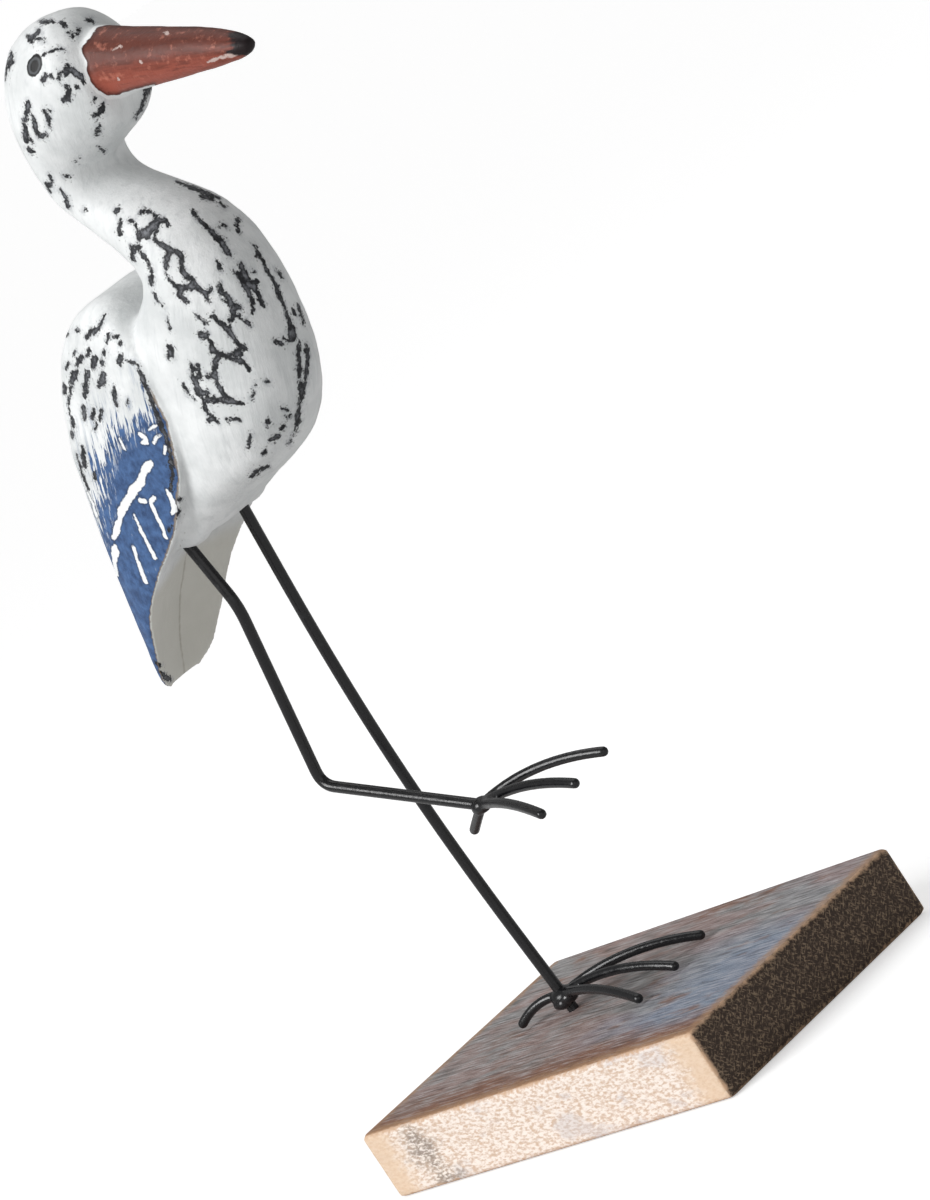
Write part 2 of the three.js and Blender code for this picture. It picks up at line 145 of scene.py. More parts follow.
BREAST_CHIPS = [
    [(36.4, 231, 1.6), (35.2, 229.3, 2.2), (36.5, 227.6, 1.5), (36, 225.2, 2.3), (38, 223.7, 1.7)],
    [(33.9, 227.4, 1.3), (34.3, 227, 1.2)], [(36.2, 224.6, 1.9), (34, 222.7, 1.5), (31, 221.5, 1.2)],
    [(35.8, 221.8, 1.6), (36.6, 222.2, 1.1)], [(37.4, 219.7, 1.7), (37.2, 219.3, 1.6)],
    [(22.2, 227, 1.1), (23.4, 224.6, 1.5), (24.4, 223.8, 1.0)],
    [(26.4, 225, 1.0), (27.8, 224.6, 1.8), (28.2, 222.6, 1.9), (29.4, 220.2, 2.0), (29.6, 217.8, 1.5),
     (29.8, 215.8, 1.8), (31, 214.4, 1.4)],
    [(30.2, 214.8, 1.6), (28.4, 213.9, 2.0), (25.5, 213.9, 1.3), (23, 214.5, 1.5), (21.2, 215.9, 2.2),
     (20.2, 217.4, 2.3), (21.2, 219, 1.6)],
    [(19.4, 222, 2.2), (21, 221.4, 2.2), (22.4, 221.6, 1.0)], [(24, 213.4, 0.8), (26.2, 211.8, 1.1),
                                                              (27.6, 212, 1.3), (27.8, 209.4, 1.7)],
    [(21, 215.4, 1.6), (18.6, 214.5, 1.5), (16.8, 213, 1.7), (15, 211.4, 2.1), (14.5, 208.9, 1.7),
     (14.3, 206.9, 1.7), (15.3, 204.9, 1.3), (16.4, 203.4, 1.5), (18.6, 202.5, 1.1)],
    [(15.4, 211.6, 1.6), (12.8, 212.1, 1.3)],
    [(6.4, 207, 1.5), (8.2, 206.9, 1.8), (10.5, 206.1, 1.7), (13.2, 205, 2.0), (16, 203.6, 1.4)],
    [(9.8, 216.8, 1.1), (9.4, 214.9, 1.2), (8, 213.8, 2.0), (7.2, 211.4, 2.1), (5.8, 209.3, 1.1),
     (6.6, 207.3, 1.3), (5.2, 205.4, 1.6), (5, 203.4, 1.0)],
    [(12.1, 215.9, 1.2), (11.6, 214.6, 1.4), (10.4, 213, 1.9), (8.4, 213, 1.3)],
    [(7.4, 210.4, 1.6), (7.6, 208.8, 1.3), (9.6, 208.6, 1.3)],
    [(3.4, 213.6, 1.0), (2.8, 212, 1.6), (2.8, 210.6, 1.3), (3.7, 208.8, 0.9)],
    [(3.4, 202.2, 1.2), (5.4, 202.5, 1.9), (6.6, 201, 1.1)], [(9.6, 200.3, 0.5), (12.1, 199.8, 0.8),
                                                             (13.8, 198.9, 1.1)],
    [(7, 222.7, 1.9), (5.6, 221.2, 2.4), (4, 220.8, 0.9)],
    [(44, 232, 1.6), (44.6, 229.6, 2.4), (44, 227, 2.1), (43.9, 224.6, 1.8), (41.8, 222, 1.1),
     (40.4, 221, 0.8)],
    [(47.3, 233, 1.6), (46.4, 230.6, 3.0), (45.6, 228.6, 3.2), (47, 227, 2.6), (46.4, 224.6, 1.4),
     (45.8, 222, 1.5)],
    [(47.6, 227.8, 1.6), (49.4, 227.8, 1.1)], [(49.8, 230.4, 0.8), (50.4, 229.6, 0.8)],
    [(42.3, 212.3, 1.3), (43.8, 211.4, 1.4)], [(45.6, 212.3, 0.9), (46.4, 211.6, 0.8)],
    [(47.6, 211.6, 1.9), (49, 212.4, 2.6), (50.4, 213.7, 2.2), (51, 215.6, 1.5), (52.4, 219, 0.9),
     (53.2, 222.4, 1.7), (54.3, 225.1, 1.6), (54.6, 228.9, 1.1), (55.2, 232.2, 1.3), (55.6, 235.8, 1.4)],
    [(55, 233, 1.1), (53.6, 233.4, 1.1)], [(54.9, 217.8, 0.8), (54.2, 216.8, 1.1)],
    [(57.7, 228.4, 1.0), (57.9, 226.4, 1.1)], [(57.4, 218.4, 0.8), (56.4, 216.2, 1.2), (55.2, 213.2, 0.6)],
    [(50, 210.2, 0.7), (48.6, 208.9, 1.1), (46.1, 206.1, 1.3), (43.6, 203.2, 1.4), (41.8, 200.9, 1.2),
     (40.3, 199, 2.0)],
    [(51.4, 208.4, 1.2), (49.3, 205.8, 1.3), (46.8, 203.3, 1.0), (43, 200.2, 0.9), (40.3, 198.8, 1.4),
     (37.4, 196.5, 0.9), (34.9, 194.6, 0.9), (33, 193, 1.8), (29.3, 190.3, 0.5), (24, 188.2, 0.3)],
    [(30.2, 197, 1.0), (31.4, 196.2, 0.8)], [(29.6, 194.4, 0.9), (32, 194.6, 0.8)],
    [(21.8, 194.9, 1.2), (23.2, 195.6, 1.2)], [(19.6, 191.1, 1.1), (21.4, 191.3, 1.4), (23.4, 191.4, 0.9)],
    [(25.3, 192.4, 0.9), (27.4, 192.9, 0.8)], [(13.8, 188.8, 0.9), (15.8, 189.2, 1.1)],
    [(4.9, 185.1, 0.8), (8.6, 185.5, 1.2), (13.4, 185.6, 0.5)],
    [(10.6, 191.9, 0.7), (12.4, 193, 0.9), (14.6, 194.8, 0.6)],
    [(22.4, 202.2, 0.8), (24.8, 203.7, 0.6)], [(26, 205, 0.9), (26.9, 205, 0.9)],
    [(30.4, 204.6, 1.1), (31.4, 204.4, 1.3)],
]
WING_CHIPS_AND_SHADE = [
    [(-21.6, 237.8, 0.9), (-20.4, 237.8, 0.9)], [(-26.2, 238.2, 0.7), (-25, 238.4, 0.7)],
    [(-19.6, 234.8, 0.9), (-16.4, 235.6, 1.9), (-12.6, 235.6, 1.1), (-8.1, 238, 0.35)],
    [(-13.4, 231.2, 0.8), (-11, 232.4, 1.4), (-8.3, 231.2, 0.9)],
    [(-23.2, 230.8, 1.1), (-21, 231.9, 1.3)], [(-29.4, 229.9, 0.7), (-27.4, 230.6, 1.6), (-25, 231.3, 1.3)],
    [(-34, 230.6, 0.6), (-31.6, 231.4, 1.0)], [(-28, 232.8, 0.6), (-26.2, 233.2, 0.6)],
    [(-24.4, 227.3, 1.0), (-22.2, 228.4, 2.2), (-20.6, 229.2, 1.7)],
    [(-20.2, 226.9, 1.1), (-18.8, 227.6, 1.2)],
    [(-17, 229, 1.2), (-15.9, 229.6, 1.1)], [(-9.7, 229.4, 0.8), (-8.6, 229.6, 0.8)],
    [(-37.6, 224.6, 0.8), (-35, 226.8, 1.3), (-32.6, 227.9, 2.3), (-29.8, 228.8, 1.2)],
    [(-39.8, 225.5, 1.4), (-38.2, 226.7, 1.9)], [(-41, 222.4, 0.6), (-38.6, 224.3, 0.9)],
    [(-33.6, 221.9, 0.7), (-31.2, 223.6, 1.8), (-29, 225.6, 1.4), (-26.6, 227, 1.5)],
    [(-13.6, 225.3, 1.4), (-11.6, 226.3, 1.9)], [(-10.4, 224.8, 0.8), (-8.2, 223.1, 1.0), (-7.2, 222.4, 0.6)],
    [(-26.2, 222.8, 1.2), (-24.2, 223, 2.4), (-21.4, 224.6, 1.7)],
    [(-38.8, 216.8, 0.9), (-37, 218.8, 1.8), (-35.6, 220.2, 1.1)],
    [(-35.6, 216.2, 1.3), (-33.1, 217.7, 1.5)], [(-33.6, 214.7, 0.8), (-30.2, 217, 0.9)],
    [(-44.2, 216.9, 1.5), (-42.8, 218.3, 1.5)], [(-47.4, 214.7, 0.8), (-45.8, 215.6, 1.2)],
    [(-24.2, 216.2, 1.1), (-22.6, 218.6, 1.6), (-20.6, 220.4, 1.0)], [(-20, 215, 0.6), (-18.6, 216.4, 0.6)],
    [(-49.6, 206.2, 1.1), (-48.2, 208.2, 1.6), (-45.6, 210.9, 1.2)], [(-51, 207.6, 0.7), (-49.6, 210, 0.8)],
    [(-53.6, 201, 1.0), (-52.4, 204.6, 1.1), (-50.6, 208.2, 0.7)], [(-48.6, 202.6, 1.4), (-47.4, 203.6, 1.2)],
    [(-37.4, 213.2, 0.6), (-35, 214.6, 0.7)], [(-41.6, 221.4, 0.5), (-43, 219.8, 0.5)],
    # Painted shade: this stroke is the dark line along the wing's front edge, where the wing stands proud of
    # the flank
    [(-8.6, 221.2, 1.0), (-9, 219.6, 1.6), (-9.9, 216, 1.5), (-12.2, 209.6, 1.8), (-15.2, 201.2, 1.6),
     (-19.6, 195.2, 1.5), (-24.4, 191, 1.0)],
    [(-23.8, 187.9, 1.2), (-23.2, 188.2, 1.2)], [(-29.4, 183.8, 0.5), (-26.4, 185.6, 1.0)],
    [(-35.8, 181.4, 0.4), (-32, 182.8, 0.6)],
    [(-71.3, 153, 0.7), (-70.8, 151.6, 1.9)], [(-71.9, 149.2, 1.2), (-71.4, 147.2, 2.2)],
]
# Scratches and flakes where light shows: the white coat in the blue, filler along the beak
SCRATCHES = [
    [(-63.7, 177.8, 1.6), (-61.7, 180.9, 1.4), (-58.6, 183.4, 2.8), (-57.6, 184.2, 1.6)],
    [(-56, 186.6, 1.4), (-53.1, 188, 2.3), (-49.8, 189.8, 1.5), (-46.7, 191.9, 2.2), (-41.7, 193.6, 2.3),
     (-37.4, 195.2, 2.6), (-33.1, 196.2, 2.4), (-30.3, 197.9, 1.9), (-27.4, 199, 2.4), (-25.4, 199.3, 1.9)],
    [(-22.4, 206.9, 1.7), (-21.4, 205.8, 1.4), (-22, 204.5, 1.5), (-23.8, 204.9, 1.1)],
    [(-18.6, 206.9, 0.9), (-15, 207.2, 0.7)], [(-19.8, 203.4, 1.1), (-17.6, 204.6, 0.7), (-15.6, 204.4, 0.6)],
    [(-18.6, 199.8, 0.9), (-16.6, 201.2, 0.9)],
    [(-37.6, 192, 1.4), (-36, 191.4, 1.2)], [(-32, 191, 1.2), (-34, 190.9, 1.3), (-35.2, 188, 1.5),
                                            (-35.9, 184, 1.1), (-37.1, 180.9, 1.5)],
    [(-43, 189.4, 0.7), (-44.4, 185, 1.3), (-45.2, 180.4, 1.2), (-45.7, 177.4, 1.6)],
    [(-50.9, 182.2, 1.3), (-52.6, 178.8, 1.1), (-53.6, 176, 1.6), (-54.9, 172.8, 1.5)],
    [(-26, 191.6, 1.0), (-26.3, 188.6, 1.8), (-27.6, 186.2, 1.8), (-29.6, 185.4, 1.0)],
    [(-30.6, 208.6, 0.7), (-31.4, 205.4, 0.9)], [(-57.2, 193.8, 1.2), (-55.6, 196.8, 0.9), (-54.9, 200, 0.8)],
    [(78.6, 280, 0.5), (83.6, 279.5, 0.9), (87.4, 278.5, 1.3), (90.6, 277.6, 0.9)],
    [(46.8, 287.8, 1.0), (47, 287.8, 1.0)], [(57.6, 288.5, 1.1), (57.8, 288.4, 1.1)],
    [(71, 291.1, 0.8), (72.2, 290.8, 1.0)], [(51, 294.4, 0.5), (55, 294, 0.5)],
]
# Upper limit of the blue on the drawing, and the line where the beak meets the face
BLUE_LIMIT = [(-80, 188), (-62, 190), (-58.9, 192.6), (-55.3, 194.7), (-51.7, 198.3), (-47.4, 201.4),
              (-43.9, 205.6), (-38.1, 208.5), (-33.9, 210), (-30.3, 211.6), (-26, 211), (-21.7, 211.4),
              (-16.7, 210.6), (-12.4, 212.6), (-9, 215)]
BEAK_ROOT = [(200, 260), (200, 268), (57.4, 272), (57.4, 282), (51.1, 283.3), (43.6, 284.5), (39.9, 285.8),
             (38, 288.3), (37.6, 290.8), (38.6, 293.6), (40.7, 295.4), (40.8, 297.6), (41.8, 298.9),
             (45.5, 299.5), (49.9, 300.4), (52, 302), (52, 315)]
TAIL_HOLLOW = 1.3


def linear(hex_colour):
    """An sRGB hex colour as the linear RGBA that a shader's socket takes."""
    rgb = [int(hex_colour[i : i + 2], 16) / 255 for i in (1, 3, 5)]
    return (*(c / 12.92 if c <= 0.04045 else ((c + 0.055) / 1.055) ** 2.4 for c in rgb), 1.0)


def add(tree, kind, inputs=(), out=0, **settings):
    """Adds one shader node with its settings and links, and returns the output that is asked for."""
    made = tree.nodes.new("ShaderNode" + kind)
    for name, value in settings.items():
        setattr(made, name, value)
    for key, value in dict(inputs).items():
        if isinstance(value, bpy.types.NodeSocket):
            tree.links.new(value, made.inputs[key])
        else:
            made.inputs[key].default_value = value
    return made.outputs[out] if made.outputs else made


def new_material(name):
    """A node material with nothing in it but its output, and the tree to fill."""
    material = bpy.data.materials.new(name)
    material.use_nodes = True
    tree = material.node_tree
    tree.nodes.clear()
    return material, tree


def finish_material(tree, **sockets):
    """The surface shader, with what each of its sockets takes, joined to the output."""
    surface = add(tree, "BsdfPrincipled", {k.replace("_", " "): v for k, v in sockets.items()})
    add(tree, "OutputMaterial", {"Surface": surface})


# Finishes
def patterns(tree, place, table):
    """Noise for each row of a table: its name, its tilt about an axis, its size in mm along the turned
    axes, and how much fine detail it carries."""
    made = {}
    for name, axis, tilt, size, detail in table:
        turn = [0.0, 0.0, 0.0]
        turn["XYZ".index(axis)] = math.radians(tilt)
        at = add(tree, "Mapping", {"Vector": place, "Rotation": turn, "Scale": size}, vector_type="TEXTURE")
        made[name] = add(tree, "TexNoise", {"Vector": at, "Scale": 1.0, "Detail": detail, "Roughness": 0.62})
    return made


def painted_wood(settings):
    """Limed softwood, carved by hand: matt white paint over a dark undercoat, chipped and rubbed.
    To the eye, chalky white with charcoal chips, streaky blue wings and a brick-red beak."""
    material, tree = new_material("Distressed paint on carved softwood")
    place = add(tree, "VectorMath", {0: add(tree, "TexCoord", out="Object"), 3: 1000.0}, operation="SCALE")
    x, y, z = add(tree, "SeparateXYZ", {0: place}).node.outputs
    chip_and_shade, scratch, wing, blue, under, beak = (
        add(tree, "Attribute", attribute_name=name, out="Fac")
        for name in ("chip_and_shade", "scratch", "wing", "blue", "under", "beak"))
    noise = patterns(tree, place, (
        ("blotch", "Y", 0, (15, 15, 15), 4), ("brush", "Y", -60, (20, 2.2, 1.8), 3),
        ("ragged", "Y", 0, (1.5, 1.5, 1.5), 5), ("crumb", "Y", 0, (0.9, 0.9, 0.9), 2),
        ("tone", "Y", 0, (2.4, 2.4, 2.4), 5), ("grain", "Y", -60, (9, 1, 0.7), 4),
        ("streak", "Y", -62, (10, 2.2, 1.3), 4), ("fleck", "Y", -60, (4.5, 1.6, 0.8), 3),
        ("along", "Y", 16.5, (13, 2.6, 1.9), 5)))
    ragged = add(tree, "Math", {0: noise["ragged"], 1: 0.5}, operation="SUBTRACT")

    # White coat, brushed on thinly, so it varies from blotch to blotch and along the brush marks. Painted
    # shade then darkens the tail's underside and the crease along its middle
    white = add(tree, "Mix", {0: add(tree, "MapRange", {0: noise["blotch"], 1: 0.36, 2: 0.66}),
                              6: linear("#EBEDED"), 7: linear("#D3D6D6")}, out=2, data_type="RGBA")
    white = add(tree, "Mix", {0: add(tree, "MapRange", {0: noise["brush"], 1: 0.52, 2: 0.72, 4: 0.4}),
                              6: white, 7: linear("#C2C6C7")}, out=2, data_type="RGBA")
    # Painted shade: the tail's underside, which faces downwards, is tinted a darker warm grey
    white = add(tree, "Mix", {0: add(tree, "Math", {0: under, 1: 0.8}, operation="MULTIPLY"), 6: white,
                              7: linear("#CFCDC2")}, out=2, data_type="RGBA")
    side = add(tree, "Math", {0: add(tree, "Math", {0: y, 1: BIRD_Y}, operation="SUBTRACT")},
               operation="ABSOLUTE")
    # Painted shade: a darker brown line along the crease in the middle of the tail's underside
    crease = add(tree, "Math", {0: noise["tone"], 1: 1.4, 2: side}, operation="MULTIPLY_ADD")
    crease = add(tree, "Math", {0: add(tree, "MapRange", {0: crease, 1: 1.25, 2: 0.7, 4: 0.45}), 1: under},
                 operation="MULTIPLY")
    white = add(tree, "Mix", {0: crease, 6: white, 7: linear("#857C69")}, out=2, data_type="RGBA")

    # Chips, and the strokes of painted shade drawn with them: strokes with broken edges, a grey fringe where
    # the white wears thin, and crumbs beside them
    reach = add(tree, "Math", {0: ragged, 1: 2.4, 2: chip_and_shade}, operation="MULTIPLY_ADD")
    reach = add(tree, "Math", {0: add(tree, "Math", {0: noise["crumb"], 1: 0.5}, operation="SUBTRACT"),
                               1: 1.8, 2: reach}, operation="MULTIPLY_ADD")
    fringe = add(tree, "Math", {0: add(tree, "MapRange", {0: reach, 1: 1.3, 2: 0.1}),
                                1: add(tree, "MapRange", {0: noise["tone"], 1: 0.42, 2: 0.62, 4: 0.75})},
                 operation="MULTIPLY")
    white = add(tree, "Mix", {0: fringe, 6: white, 7: linear("#AEB1B5")}, out=2, data_type="RGBA")
    bare = add(tree, "MapRange", {0: reach, 1: 0.22, 2: -0.12})
    crumbs = add(tree, "Math", {0: add(tree, "MapRange", {0: noise["crumb"], 1: 0.61, 2: 0.68, 4: 0.85}),
                                1: add(tree, "MapRange", {0: chip_and_shade, 1: 1.7, 2: 0.4})}, operation="MULTIPLY")
    bare = add(tree, "Math", {0: bare, 1: crumbs}, operation="MAXIMUM")
    bloom = add(tree, "Math", {0: add(tree, "MapRange", {0: reach, 1: -0.2, 2: -1.1}),
                               1: add(tree, "MapRange", {0: noise["tone"], 1: 0.44, 2: 0.6})},
                operation="MULTIPLY")
    undercoat = add(tree, "Mix", {0: bloom, 6: linear("#232427"), 7: linear("#7B7D82")}, out=2,
                    data_type="RGBA")

    # Wings: blue under a streaky upper limit, white feathered with thin grey strokes above it
    on_wing = add(tree, "MapRange", {0: add(tree, "Math", {0: ragged, 1: 0.8, 2: wing},
                                            operation="MULTIPLY_ADD"), 1: -0.1, 2: 0.25})
    feathered = add(tree, "Math", {0: add(tree, "MapRange", {0: noise["streak"], 1: 0.5, 2: 0.62, 4: 0.55}),
                                   1: add(tree, "MapRange", {0: blue, 1: -11.5, 2: -7.0})},
                    operation="MULTIPLY")
    feathered = add(tree, "Math", {0: feathered, 1: on_wing}, operation="MULTIPLY")
    white = add(tree, "Mix", {0: feathered, 6: white, 7: linear("#9DA6B4")}, out=2, data_type="RGBA")
    wave = add(tree, "Math", {0: noise["streak"], 1: 30.0, 2: -15.0}, operation="MULTIPLY_ADD")
    blue_part = add(tree, "MapRange", {0: add(tree, "Math", {0: blue, 1: wave}, operation="ADD"),
                                       1: -0.7, 2: 0.7})
    kept = add(tree, "Math", {0: add(tree, "MapRange", {0: noise["fleck"], 1: 0.56, 2: 0.6}),
                              1: add(tree, "MapRange", {0: blue, 1: 7.0, 2: 1.0})}, operation="MULTIPLY")
    lost = add(tree, "MapRange", {0: noise["fleck"], 1: 0.72, 2: 0.75})
    kept = add(tree, "Math", {0: 1.0, 1: add(tree, "Math", {0: kept, 1: lost}, operation="MAXIMUM")},
               operation="SUBTRACT")
    blue_part = add(tree, "Math", {0: blue_part, 1: kept}, operation="MULTIPLY")
    blue_part = add(tree, "Math", {0: blue_part, 1: on_wing}, operation="MULTIPLY")
    blue_paint = add(tree, "Mix", {0: add(tree, "MapRange", {0: noise["tone"], 1: 0.36, 2: 0.64}),
                                   6: linear("#30486F"), 7: linear("#4A6A98")}, out=2, data_type="RGBA")
    coat = add(tree, "Mix", {0: blue_part, 6: white, 7: blue_paint}, out=2, data_type="RGBA")
    coat = add(tree, "Mix", {0: bare, 6: coat, 7: undercoat}, out=2, data_type="RGBA")

    # Rims of the wings, rubbed to brown wood
    rim = add(tree, "Math", {0: add(tree, "Math", {0: ragged, 1: 1.6, 2: wing}, operation="MULTIPLY_ADD")},
              operation="ABSOLUTE")
    rim = add(tree, "Math", {0: add(tree, "MapRange", {0: rim, 1: 0.45, 2: 0.2, 4: 0.8}),
                             1: add(tree, "MapRange", {0: blue, 1: -2.0, 2: 1.0})}, operation="MULTIPLY")
    coat = add(tree, "Mix", {0: rim, 6: coat, 7: linear("#7C6C5B")}, out=2, data_type="RGBA")

    # Scratches through the blue, with a thin dark line of painted shadow along their rims
    torn = add(tree, "Math", {0: ragged, 1: 1.5, 2: scratch}, operation="MULTIPLY_ADD")
    scratch_shadow = add(tree, "MapRange", {0: torn, 1: 0.6, 2: 0.15, 4: 0.6})
    coat = add(tree, "Mix", {0: scratch_shadow, 6: coat, 7: linear("#1F2A3E")}, out=2, data_type="RGBA")
    rubbed = add(tree, "MapRange", {0: torn, 1: 0.12, 2: -0.12})
    coat = add(tree, "Mix", {0: rubbed, 6: coat, 7: linear("#EDEFEF")}, out=2, data_type="RGBA")

    # Beak: brick red in strokes along its length, browner above, black at the tip, cut in with white, with a
    # dark line of painted shade along its root
    cut_in = add(tree, "Math", {0: ragged, 1: 0.9, 2: beak}, operation="MULTIPLY_ADD")
    coat = add(tree, "Mix", {0: add(tree, "MapRange", {0: cut_in, 1: -1.25, 2: -0.9}), 6: coat,
                             7: linear("#EEF0F0")}, out=2, data_type="RGBA")
    rise = add(tree, "Math", {0: x, 1: 0.296, 2: z}, operation="MULTIPLY_ADD")
    rise = add(tree, "Math", {0: noise["along"], 1: 16.0, 2: rise}, operation="MULTIPLY_ADD")
    red = add(tree, "Mix", {0: add(tree, "MapRange", {0: rise, 1: 311.4, 2: 317.4}), 6: linear("#9F5343"),
                            7: linear("#623024")}, out=2, data_type="RGBA")
    red = add(tree, "Mix", {0: add(tree, "MapRange", {0: noise["along"], 1: 0.46, 2: 0.34, 4: 0.6}), 6: red,
                            7: linear("#43201A")}, out=2, data_type="RGBA")
    red = add(tree, "Mix", {0: add(tree, "MapRange", {0: noise["tone"], 1: 0.56, 2: 0.7, 4: 0.6}), 6: red,
                            7: linear("#C27A66")}, out=2, data_type="RGBA")
    red = add(tree, "Mix", {0: add(tree, "MapRange", {0: rubbed, 4: 0.85}), 6: red,
                            7: linear("#CDB9B2")}, out=2, data_type="RGBA")
    # Painted shade: a dark line just inside the beak's root, where it meets the face
    red = add(tree, "Mix", {0: add(tree, "MapRange", {0: cut_in, 1: 1.1, 2: 0.2, 4: 0.75}), 6: red,
                            7: linear("#3B1B18")}, out=2, data_type="RGBA")
    tip = add(tree, "MapRange", {0: add(tree, "Math", {0: noise["along"], 1: 9.0, 2: x},
                                        operation="MULTIPLY_ADD"), 1: 96.2, 2: 97.6})
    red = add(tree, "Mix", {0: tip, 6: red, 7: linear("#1D1315")}, out=2, data_type="RGBA")
    on_beak = add(tree, "MapRange", {0: cut_in, 1: -0.12, 2: 0.12})
    coat = add(tree, "Mix", {0: on_beak, 6: coat, 7: red}, out=2, data_type="RGBA")

    # Eyes, alike on both sides: a black pupil in a grey ring with a black rim
    from_eye = []
    for along_eye, across_eye, half in ((1, 1, settings.eye_length), (-1, 1, settings.eye_height)):
        first, second = ((math.cos(EYE_TILT), math.sin(EYE_TILT)) if along_eye > 0
                         else (-math.sin(EYE_TILT), math.cos(EYE_TILT)))
        offset = EYE[0] * first + EYE[2] * second
        part = add(tree, "Math", {0: x, 1: first, 2: -offset}, operation="MULTIPLY_ADD")
        part = add(tree, "Math", {0: z, 1: second * across_eye, 2: part}, operation="MULTIPLY_ADD")
        from_eye.append(add(tree, "Math", {0: part, 1: half * 500}, operation="DIVIDE"))
    from_eye = add(tree, "VectorMath", {0: add(tree, "CombineXYZ", {0: from_eye[0], 1: from_eye[1]})},
                   out="Value", operation="LENGTH")
    from_eye = add(tree, "Math", {0: ragged, 1: 0.35, 2: from_eye}, operation="MULTIPLY_ADD")
    from_eye = add(tree, "Math", {0: from_eye, 1: add(tree, "MapRange", {0: side, 1: 6.0, 2: 5.0, 4: 9.0})},
                   operation="ADD")
    eye = add(tree, "ValToRGB", {0: from_eye})
    ramp = eye.node.color_ramp
    ramp.elements[0].color = linear("#0C0C0D")
    ramp.elements[1].position, ramp.elements[1].color = 1.0, linear("#19191B")
    for at, colour in ((0.5, "#0C0C0D"), (0.6, "#44474A"), (0.72, "#4E5154"), (0.82, "#19191B")):
        ramp.elements.new(at).color = linear(colour)
    coat = add(tree, "Mix", {0: add(tree, "MapRange", {0: from_eye, 1: 1.04, 2: 0.96}), 6: coat, 7: eye},
               out=2, data_type="RGBA")

    # Relief in millimetres: chips lie a paint film lower, over brush ridges, tooth and wood grain
    height = add(tree, "Math", {0: noise["grain"], 1: 0.12, 2: 0.0}, operation="MULTIPLY_ADD")
    for pattern, depth in ((bare, -0.13), (rubbed, -0.1), (blue_part, 0.05), (noise["tone"], 0.12),
                           (noise["brush"], 0.14)):
        height = add(tree, "Math", {0: pattern, 1: depth, 2: height}, operation="MULTIPLY_ADD")
    relief = add(tree, "Bump", {"Strength": 0.8, "Distance": 0.001, "Height": height})
    gloss = add(tree, "MapRange", {0: bare, 3: 0.46, 4: 0.62})
    finish_material(tree, Base_Color=coat, Roughness=gloss, Normal=relief, Specular_IOR_Level=0.28)
    return material


def black_enamel(settings):
    """Mild steel wire dipped in gloss black enamel: thick, so the light runs along it in one soft line."""
    material, tree = new_material("Gloss black enamel on steel wire")
    place = add(tree, "VectorMath", {0: add(tree, "TexCoord", out="Object"), 3: 1000.0}, operation="SCALE")
    noise = patterns(tree, place, (("peel", "X", 0, (1.1, 1.1, 1.1), 3), ("scuff", "X", 0, (3, 3, 3), 5)))
    colour = add(tree, "Mix", {0: add(tree, "MapRange", {0: noise["scuff"], 1: 0.6, 2: 0.72, 4: 0.5}),
                               6: (*settings.enamel, 1.0), 7: linear("#26272A")}, out=2, data_type="RGBA")
    gloss = add(tree, "MapRange", {0: noise["scuff"], 1: 0.4, 2: 0.7, 3: 0.2, 4: 0.34})
    relief = add(tree, "Bump", {"Strength": 0.3, "Distance": 0.0002, "Height": noise["peel"]})
    finish_material(tree, Base_Color=colour, Roughness=gloss, Normal=relief)
    return material


